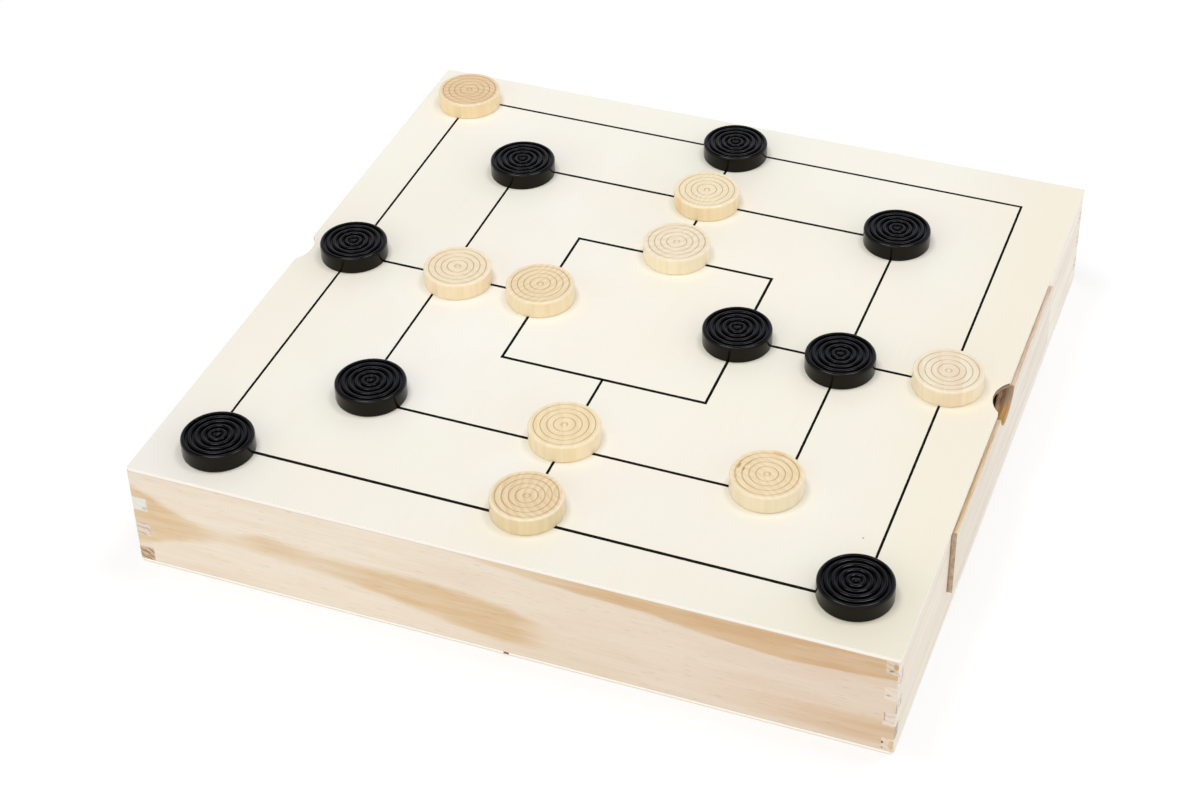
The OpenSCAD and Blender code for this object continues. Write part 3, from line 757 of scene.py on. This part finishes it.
def black_lacquer():
    """Gloss black on the turned top."""
    k = Mat("black_gloss_lacquer")
    p = k.pos
    dust = k.step(k.noise(k.vmul(p, (3.1, 3.1, 3.1)), 1.0, 1.0, 0.5), 0.74, 0.82)
    broad = k.noise(k.vmul(p, (0.13, 0.13, 0.13)), 1.0, 2.0, 0.5)
    c = k.mix(k.step(broad, 0.3, 0.7), (0.0006, 0.0006, 0.0010), (0.0010, 0.0010, 0.0014))
    c = k.mix(k.mul(dust, 0.10), c, (0.03, 0.028, 0.026))
    rough = k.add(k.step(broad, 0.3, 0.7, 0.15, 0.19), k.mul(dust, 0.2))
    h = k.add(k.mul(broad, 0.6), k.mul(dust, 0.2))
    return k.finish(c, rough, k.bump(h, 0.00004, 0.2), Specular_IOR_Level=0.25)


def black_side():
    """The same lacquer round the side, with a warm tint in its colour and specular: a painted reflection of the cream
    board beside it.
    """
    k = Mat("black_side_lacquer")
    p = k.pos
    dust = k.step(k.noise(k.vmul(p, (3.1, 3.1, 3.1)), 1.0, 1.0, 0.5), 0.74, 0.82)
    broad = k.noise(k.vmul(p, (0.13, 0.13, 0.13)), 1.0, 2.0, 0.5)
    c = k.mix(k.step(broad, 0.3, 0.7), (0.0018, 0.0012, 0.0005), (0.0034, 0.0023, 0.0009))
    c = k.mix(k.mul(dust, 0.10), c, (0.03, 0.028, 0.026))
    rough = k.add(k.step(broad, 0.3, 0.7, 0.15, 0.19), k.mul(dust, 0.2))
    h = k.add(k.mul(broad, 0.6), k.mul(dust, 0.2))
    return k.finish(c, rough, k.bump(h, 0.00004, 0.2), Specular_IOR_Level=0.18, Specular_Tint=(0.98, 0.98, 0.80, 1.0))


def make_men():
    shapes = {"light": lathe("light_shape", man_profile(0.34, 0.17, 0.90, 0.05, 1.1, 1.5)),
              "dark": lathe("dark_shape", man_profile(1.50, 0.68, 1.25, 0.18, 0.80, 2.5))}
    black, flank = black_lacquer(), black_side()
    for i in range(1, 10):
        for tone in ("light", "dark"):
            node = "%s_man_%d" % (tone, i)
            lo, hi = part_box(node)
            me = shapes[tone].copy()
            me.name = node + "_turned"
            me.materials.append(light_wood(i) if tone == "light" else black)
            if tone == "dark":
                me.materials.append(flank)
                for face in me.polygons:
                    if face.center.xy.length > (MAN_R - 0.55) * MM and face.center.z < (MAN_H - 0.45) * MM:
                        face.material_index = 1
            o = bpy.data.objects.new(node + "_turned", me)
            scene.collection.objects.link(o)
            o.location = ((lo.x + hi.x) / 2, (lo.y + hi.y) / 2, lo.z)
            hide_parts(node)
            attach(o, node)
    for me in shapes.values():
        bpy.data.meshes.remove(me)


# ------------------------------------------------------------------ printed mill

def make_lines():
    """Three squares joined by four short lines, printed a little askew on the board, as a
    thin film of ink with slightly uneven edges."""
    rnd = random.Random(7)
    z0, z1 = TOP - 0.02, TOP + 0.03
    turn_x, turn_y = math.radians(-0.352), math.radians(0.300)
    bm = bmesh.new()

    def lay(p):
        return Vector((0.03 + math.cos(turn_x) * p.x - math.sin(turn_y) * p.y,
                       1.03 + math.sin(turn_x) * p.x + math.cos(turn_y) * p.y))

    def strip(a, b, w, cap_a, cap_b):
        """A line from a to b, w to each side. cap is how far past its end it runs, inside and
        outside."""
        a, b = Vector(a), Vector(b)
        d = (b - a).normalized()
        s = Vector((-d.y, d.x))
        n = max(2, int((b - a).length / 1.5))
        low, high = [], []
        for i in range(n + 1):
            p = a + (b - a) * (i / n)
            jl, jr = rnd.uniform(-0.03, 0.03), rnd.uniform(-0.03, 0.03)
            l, r = p + s * (w + jl), p - s * (w + jr)
            if i == 0:
                l, r = l + d * cap_a[0], r + d * cap_a[1]
            if i == n:
                l, r = l + d * cap_b[0], r + d * cap_b[1]
            l, r = lay(l), lay(r)
            high.append((bm.verts.new((l.x * MM, l.y * MM, z1 * MM)), bm.verts.new((r.x * MM, r.y * MM, z1 * MM))))
            low.append((bm.verts.new((l.x * MM, l.y * MM, z0 * MM)), bm.verts.new((r.x * MM, r.y * MM, z0 * MM))))
        for i in range(n):
            (a0, a1), (b0, b1) = high[i], high[i + 1]
            (c0, c1), (d0, d1) = low[i], low[i + 1]
            bm.faces.new((a0, a1, b1, b0))
            bm.faces.new((c0, d0, d1, c1))
            bm.faces.new((a0, b0, d0, c0))
            bm.faces.new((a1, c1, d1, b1))
        bm.faces.new((high[0][0], low[0][0], low[0][1], high[0][1]))
        bm.faces.new((high[-1][0], high[-1][1], low[-1][1], low[-1][0]))

    # half the width of the front, right, back and left line; those along Y print thinner
    for h, ws in ((46.03, (0.75, 0.63, 0.75, 0.61)), (92.16, (0.71, 0.56, 0.72, 0.55)),
                  (138.23, (0.77, 0.55, 0.66, 0.545))):
        c = [(-h, -h), (h, -h), (h, h), (-h, h)]
        for i in range(4):
            before, after = ws[i - 1], ws[(i + 1) % 4]
            strip(c[i], c[(i + 1) % 4], ws[i], (before, -before), (-after, after))
    for dx, dy in ((1, 0), (0, 1), (-1, 0), (0, -1)):
        strip((46.03 * dx, 46.03 * dy), (138.23 * dx, 138.23 * dy), 0.57 if dy else 0.72, (0, 0), (0, 0))
    bmesh.ops.recalc_face_normals(bm, faces=bm.faces)
    me = bpy.data.meshes.new("mill_lines")
    bm.to_mesh(me)
    bm.free()
    me.materials.append(ink())
    o = bpy.data.objects.new("mill_lines", me)
    scene.collection.objects.link(o)
    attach(o, "case")


# ------------------------------------------------------------------ dominoes, dice, spillikins

SPOTS = {0: (), 1: ((0, 0),), 2: ((-1, -1), (1, 1)), 3: ((-1, -1), (0, 0), (1, 1)),
         4: ((-1, -1), (-1, 1), (1, -1), (1, 1)), 5: ((-1, -1), (-1, 1), (0, 0), (1, -1), (1, 1)),
         6: ((-1, -1), (-1, 0), (-1, 1), (1, -1), (1, 0), (1, 1))}


def solid(name, make):
    bm = bmesh.new()
    make(bm)
    me = bpy.data.meshes.new(name)
    bm.to_mesh(me)
    bm.free()
    o = bpy.data.objects.new(name, me)
    scene.collection.objects.link(o)
    return o


def carve(block, tools):
    """Cuts one mesh out of another. The cut faces keep the tool's material slot."""
    cut = block.modifiers.new("drilled", "BOOLEAN")
    cut.operation = "DIFFERENCE"
    cut.solver = "EXACT"
    cut.material_mode = "TRANSFER"
    cut.object = tools
    got = bpy.data.meshes.new_from_object(block.evaluated_get(bpy.context.evaluated_depsgraph_get()))
    old = block.data
    block.modifiers.clear()
    block.data = got
    bpy.data.meshes.remove(old)
    t = tools.data
    bpy.data.objects.remove(tools)
    bpy.data.meshes.remove(t)


def eased_box(bm, size, ease, segments=3):
    bmesh.ops.create_cube(bm, size=1.0)
    for v in bm.verts:
        v.co = Vector((v.co.x * size[0], v.co.y * size[1], v.co.z * size[2])) * MM
    bmesh.ops.bevel(bm, geom=list(bm.edges), offset=ease * MM, segments=segments, profile=0.5, affect="EDGES")


def add_ball(bm, at, r, squash=1.0, axis=2):
    m = Matrix.Translation(Vector(at) * MM)
    s = [1.0, 1.0, 1.0]
    s[axis] = squash
    m = m @ Matrix.Diagonal((*s, 1.0))
    bmesh.ops.create_uvsphere(bm, u_segments=20, v_segments=10, radius=r * MM, matrix=m)


def smooth_by_angle(me, deg=35):
    me.polygons.foreach_set("use_smooth", [True] * len(me.polygons))
    me.set_sharp_from_angle(angle=math.radians(deg))


def domino_wood():
    k = Mat("black_stained_domino")
    p = k.pos
    fine = k.noise(k.vmul(p, (0.05, 1.6, 1.6)), 1.0, 3.0, 0.6)
    pore = k.step(k.noise(k.vmul(p, (0.22, 2.4, 2.4)), 1.0, 1.0, 0.4), 0.66, 0.74)
    wear = k.step(k.noise(k.vmul(p, (0.4, 0.4, 0.4)), 1.0, 3.0, 0.6), 0.35, 0.75)
    c = k.mix(k.step(fine, 0.3, 0.7), (0.0070, 0.0066, 0.0064), (0.0135, 0.0122, 0.0115))
    c = k.mix(k.mul(wear, 0.3), c, (0.020, 0.017, 0.015))
    c = k.mix(k.mul(pore, 0.5), c, (0.003, 0.003, 0.003))
    return k.finish(c, k.step(fine, 0.2, 0.8, 0.34, 0.46), k.bump(k.add(k.mul(fine, 0.6), k.mul(pore, -0.8)), 0.0001, 0.5))


def spot_paint(name, a, b):
    k = Mat(name)
    n = k.noise(k.vmul(k.pos, (1.2, 1.2, 1.2)), 1.0, 2.0, 0.6)
    return k.finish(k.mix(k.step(n, 0.3, 0.7), a, b), k.step(n, 0.3, 0.7, 0.35, 0.5), k.bump(n, 0.00005, 0.4))


def die_wood():
    k = Mat("die_beech")
    p = k.pos
    wave = k.noise(k.vmul(p, (0.03, 0.22, 0.22)), 1.0, 2.0, 0.5, 0.5)
    fine = k.noise(k.vmul(p, (0.09, 2.0, 2.0)), 1.0, 3.0, 0.6)
    ray = k.step(k.noise(k.vmul(p, (0.6, 3.2, 1.4)), 1.0, 1.0, 0.4), 0.66, 0.75)
    c = k.mix(k.step(wave, 0.4, 0.65), lin(246, 230, 203), lin(233, 206, 166))
    c = k.mix(k.mul(k.step(fine, 0.4, 0.85), 0.2), c, lin(212, 176, 132))
    c = k.mix(k.mul(ray, 0.35), c, lin(196, 152, 106))
    nx = k.xyz(k.normal)[0]
    c = k.mix(k.mul(k.step(k.math("ABSOLUTE", nx), 0.6, 0.9), 0.5), c, lin(222, 190, 146))
    return k.finish(c, k.step(fine, 0.3, 0.8, 0.36, 0.48), k.bump(fine, 0.00008, 0.4))


def make_dominoes():
    """A double-six set, each piece with drilled white spots and a cut line across its face."""
    black = domino_wood()
    white = spot_paint("domino_spot_paint", lin(246, 243, 234), lin(236, 231, 219))
    lo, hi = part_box("dominoes")
    faces = [(a, b) for a in range(7) for b in range(a, 7)]
    random.Random(5).shuffle(faces)
    first = None
    for n, (a, b) in enumerate(faces):
        col, row = n % 7, n // 7
        name = "domino_%d_%d" % (a, b)
        o = solid(name, lambda bm: eased_box(bm, (45.0, 22.0, 6.0), 0.7))
        o.data.materials.append(black)
        o.data.materials.append(white)

        def tools(bm):
            for half, count in ((-1, a), (1, b)):
                for u, v in SPOTS[count]:
                    add_ball(bm, (half * 11.4 + u * 6.0, v * 5.6, 3.9), 2.1)
            before = len(bm.faces)
            for f in bm.faces:
                f.material_index = 1
            bmesh.ops.create_cube(bm, size=1.0, matrix=Matrix.Translation((0, 0, 3.0 * MM)) @ Matrix.Diagonal((0.9 * MM, 18.0 * MM, 0.9 * MM, 1)))

        t = solid(name + "_drill", tools)
        t.data.materials.append(black)
        t.data.materials.append(white)
        carve(o, t)
        smooth_by_angle(o.data)
        o.location = (lo.x + 22.5 * MM, lo.y + (11.0 + col * 22.8) * MM, lo.z + (3.0 + row * 6.05) * MM)
        if (n * 7) % 3 == 1:
            o.rotation_euler = (0, 0, math.pi)
        if first is None:
            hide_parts("dominoes")
            first = o
        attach(o, "right_drawer")


def make_dice():
    """Five beech dice with drilled black spots. Opposite faces add to seven."""
    wood = die_wood()
    black = spot_paint("die_spot_paint", (0.006, 0.006, 0.006), (0.013, 0.012, 0.011))
    die = solid("die_shape", lambda bm: eased_box(bm, (16.0, 16.0, 16.0), 1.7, 5))
    turn = {1: ("Z", 0), 6: ("X", 180), 2: ("X", 90), 5: ("X", -90), 3: ("Y", 90), 4: ("Y", -90)}

    def tools(bm):
        for count, (ax, deg) in turn.items():
            m = Matrix.Rotation(math.radians(deg), 4, ax)
            for u, v in SPOTS[count]:
                at = m @ Vector((u * 3.9, v * 3.9, 8.9))
                add_ball(bm, at, 1.95)
        for f in bm.faces:
            f.material_index = 1

    t = solid("die_drill", tools)
    for o in (die, t):
        o.data.materials.append(wood)
        o.data.materials.append(black)
    carve(die, t)
    smooth_by_angle(die.data)
    lie = [(74, -66, 14, ("Z", 0)), (97, -52, -31, ("X", 90)), (121, -68, 52, ("X", -90)), (141, -47, 8, ("Y", 90)),
           (119, -41, -12, ("X", 180))]
    lo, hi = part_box("dice")
    for i, (x, y, deg, up) in enumerate(lie):
        o = bpy.data.objects.new("die_%d" % (i + 1), die.data.copy())
        scene.collection.objects.link(o)
        m = Matrix.Translation((-x * MM, (y + 1) * MM, lo.z + 8 * MM)) @ Matrix.Rotation(math.radians(-deg), 4, "Z")
        o.matrix_world = m @ Matrix.Rotation(math.radians(up[1]), 4, up[0])
        if i == 0:
            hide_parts("dice")
        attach(o, "left_drawer")
    me = die.data
    bpy.data.objects.remove(die)
    bpy.data.meshes.remove(me)


def stick_wood():
    """Thirty-one sticks, told apart by where they lie. Each has coloured rings near its ends."""
    k = Mat("spillikin_wood")
    x, y, z = k.xyz(k.pos)
    layer = k.math("FLOOR", k.math("DIVIDE", k.sub(z, 18.45), 2.71))
    across = k.sub(k.mul(x, -1.0), k.add(k.mul(layer, 1.56), 9.3))
    idx = k.math("FLOOR", k.math("DIVIDE", across, 3.12))
    pick = k.hashed(k.vec(idx, layer, 3.0))
    tone = k.hashed(k.vec(idx, layer, 8.0))
    fine = k.noise(k.vmul(k.vadd(k.pos, (0.0, 0.0, 0.0)), (2.6, 0.05, 2.6)), 1.0, 3.0, 0.6)
    c = k.mix(tone, lin(243, 224, 188), lin(230, 202, 158))
    c = k.mix(k.mul(k.step(fine, 0.4, 0.8), 0.3), c, lin(200, 164, 118))
    paint = k.ramp(pick, [(0.0, lin(196, 40, 36)), (0.28, lin(34, 76, 150)), (0.52, lin(40, 128, 72)),
                          (0.74, lin(232, 186, 44)), (0.93, lin(28, 28, 30))], "CONSTANT")
    along = k.math("ABSOLUTE", k.sub(y, 1.0))
    wide = k.hump(along, 58.0, 3.2, 0.25)
    thin = k.mul(k.hump(along, 51.5, 0.9, 0.2), k.step(pick, 0.30, 0.31))
    mid = k.mul(k.hump(along, 0.0, 3.0, 0.25), k.step(pick, 0.72, 0.73))
    c = k.mix(k.math("MAXIMUM", k.math("MAXIMUM", wide, thin), mid), c, paint)
    return k.finish(c, k.step(fine, 0.2, 0.8, 0.42, 0.56), k.bump(fine, 0.0001, 0.4))


# ------------------------------------------------------------------ dress the frame

def dress(node, mat, bevel=None, segments=2):
    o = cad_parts[node]
    o.data.materials.clear()
    o.data.materials.append(mat)
    if bevel:
        b = o.modifiers.new("eased_edges", "BEVEL")
        b.width = bevel * MM
        b.segments = segments
        b.limit_method = "ANGLE"
        b.angle_limit = math.radians(50)
        b.harden_normals = False
    return o


LEFT_ENDS = [(lin(212, 184, 154), lin(138, 104, 76), 0.75), (lin(228, 212, 196), lin(176, 156, 142), 0.60),
             (lin(234, 231, 223), lin(214, 208, 198), 0.25), (lin(236, 224, 208), lin(224, 208, 188), 0.25)]
LEFT_MARKS = [(-156.2, 20.9, 1.3, 1.1, 0.55, lin(186, 174, 156)), (-158.6, 45.4, 2.6, 0.5, 0.5, lin(128, 96, 70)),
              (-157.2, 47.6, 2.0, 0.5, 0.5, lin(128, 96, 70))]
RIGHT_ENDS = [(lin(232, 213, 190), lin(206, 180, 148), 0.35), (lin(232, 216, 202), lin(204, 180, 164), 0.45),
              (lin(234, 219, 204), lin(216, 194, 174), 0.30), (lin(222, 204, 182), lin(188, 164, 136), 0.45)]
RIGHT_MARKS = [(160.8, 4.6, 1.1, 1.9, 0.75, lin(188, 146, 94)), (159.2, 7.0, 1.0, 0.6, 0.8, lin(134, 112, 82)),
               (158.6, 19.9, 1.4, 0.45, 0.65, lin(170, 140, 108)), (157.6, 31.0, 0.35, 3.2, 0.7, lin(186, 146, 122)),
               (157.3, 45.3, 0.5, 0.7, 0.95, lin(74, 52, 38)), (157.2, 48.2, 0.4, 0.4, 0.8, lin(96, 70, 50)),
               (160.9, 46.2, 1.2, 2.6, 0.6, lin(206, 176, 132))]

dress("top_board", board_top(), 0.40, 3)
dress("base_board", ply("base_ply", 0, 1.0, True), 0.35)
dress("front_wall", front_pine(), 0.16)
dress("back_wall", plain_pine("pine_back_wall", 0, 3.0, PALE, TAN, 0.75, ends_axis=0, rings=True), 0.16)
dress("left_wall", wall_material("pine_left_wall", 4.0, LEFT_ENDS, LEFT_MARKS), 0.16)
dress("right_wall", wall_material("pine_right_wall", 5.0, RIGHT_ENDS, RIGHT_MARKS), 0.16)
BOX_PALE = lin(240, 225, 202)
inner_pine = plain_pine("pine_inner_strips", 0, 6.0, BOX_PALE, TAN, 0.6, ends_axis=0)
dress("centre_partition", plain_pine("pine_partition", 1, 7.0, BOX_PALE, TAN, 0.6, ends_axis=1), 0.2)
dress("drawer_runners", inner_pine, 0.3)
dress("drawer_guides", inner_pine, 0.3)
for side, s, sign, out in (("right", 8.0, 1, 164.2), ("left", 12.0, -1, -162.0)):
    dress(side + "_drawer_front", drawer_front_pine("pine_%s_drawer_front" % side, s, out, sign), 0.8, 4)
    long_wood = plain_pine("pine_%s_drawer_sides" % side, 0, s + 1, BOX_PALE, TAN, 0.55, ends_axis=0, rings=True)
    cross_wood = plain_pine("pine_%s_drawer_back" % side, 1, s + 2, BOX_PALE, TAN, 0.55, ends_axis=1, rings=True)
    dress(side + "_drawer_near_side", long_wood, 0.4)
    dress(side + "_drawer_far_side", long_wood, 0.4)
    dress(side + "_drawer_back", cross_wood, 0.4)
    dress(side + "_drawer_divider", cross_wood, 0.4)
    dress(side + "_drawer_bottom", ply("ply_%s_drawer" % side, 1, s + 3), 0.2)
sticks = dress("spillikins", stick_wood())
smooth_by_angle(sticks.data, 40)

make_men()
make_lines()
make_dominoes()
make_dice()


# ------------------------------------------------------------------ floor

def make_floor():
    bm = bmesh.new()
    bmesh.ops.create_grid(bm, x_segments=2, y_segments=2, size=6.0)
    me = bpy.data.meshes.new("floor")
    bm.to_mesh(me)
    bm.free()
    k = Mat("studio_floor")
    n = k.noise(k.vmul(k.pos, (0.01, 0.01, 0.01)), 1.0, 2.0, 0.5)
    me.materials.append(k.finish(k.mix(n, (0.45, 0.45, 0.45), (0.47, 0.47, 0.47)), 0.8, Specular_IOR_Level=0.0,
                                 Emission_Color=(1, 1, 1, 1), Emission_Strength=0.56))
    o = bpy.data.objects.new("floor", me)
    scene.collection.objects.link(o)
    o.location = (0, 0, -0.0002)


make_floor()
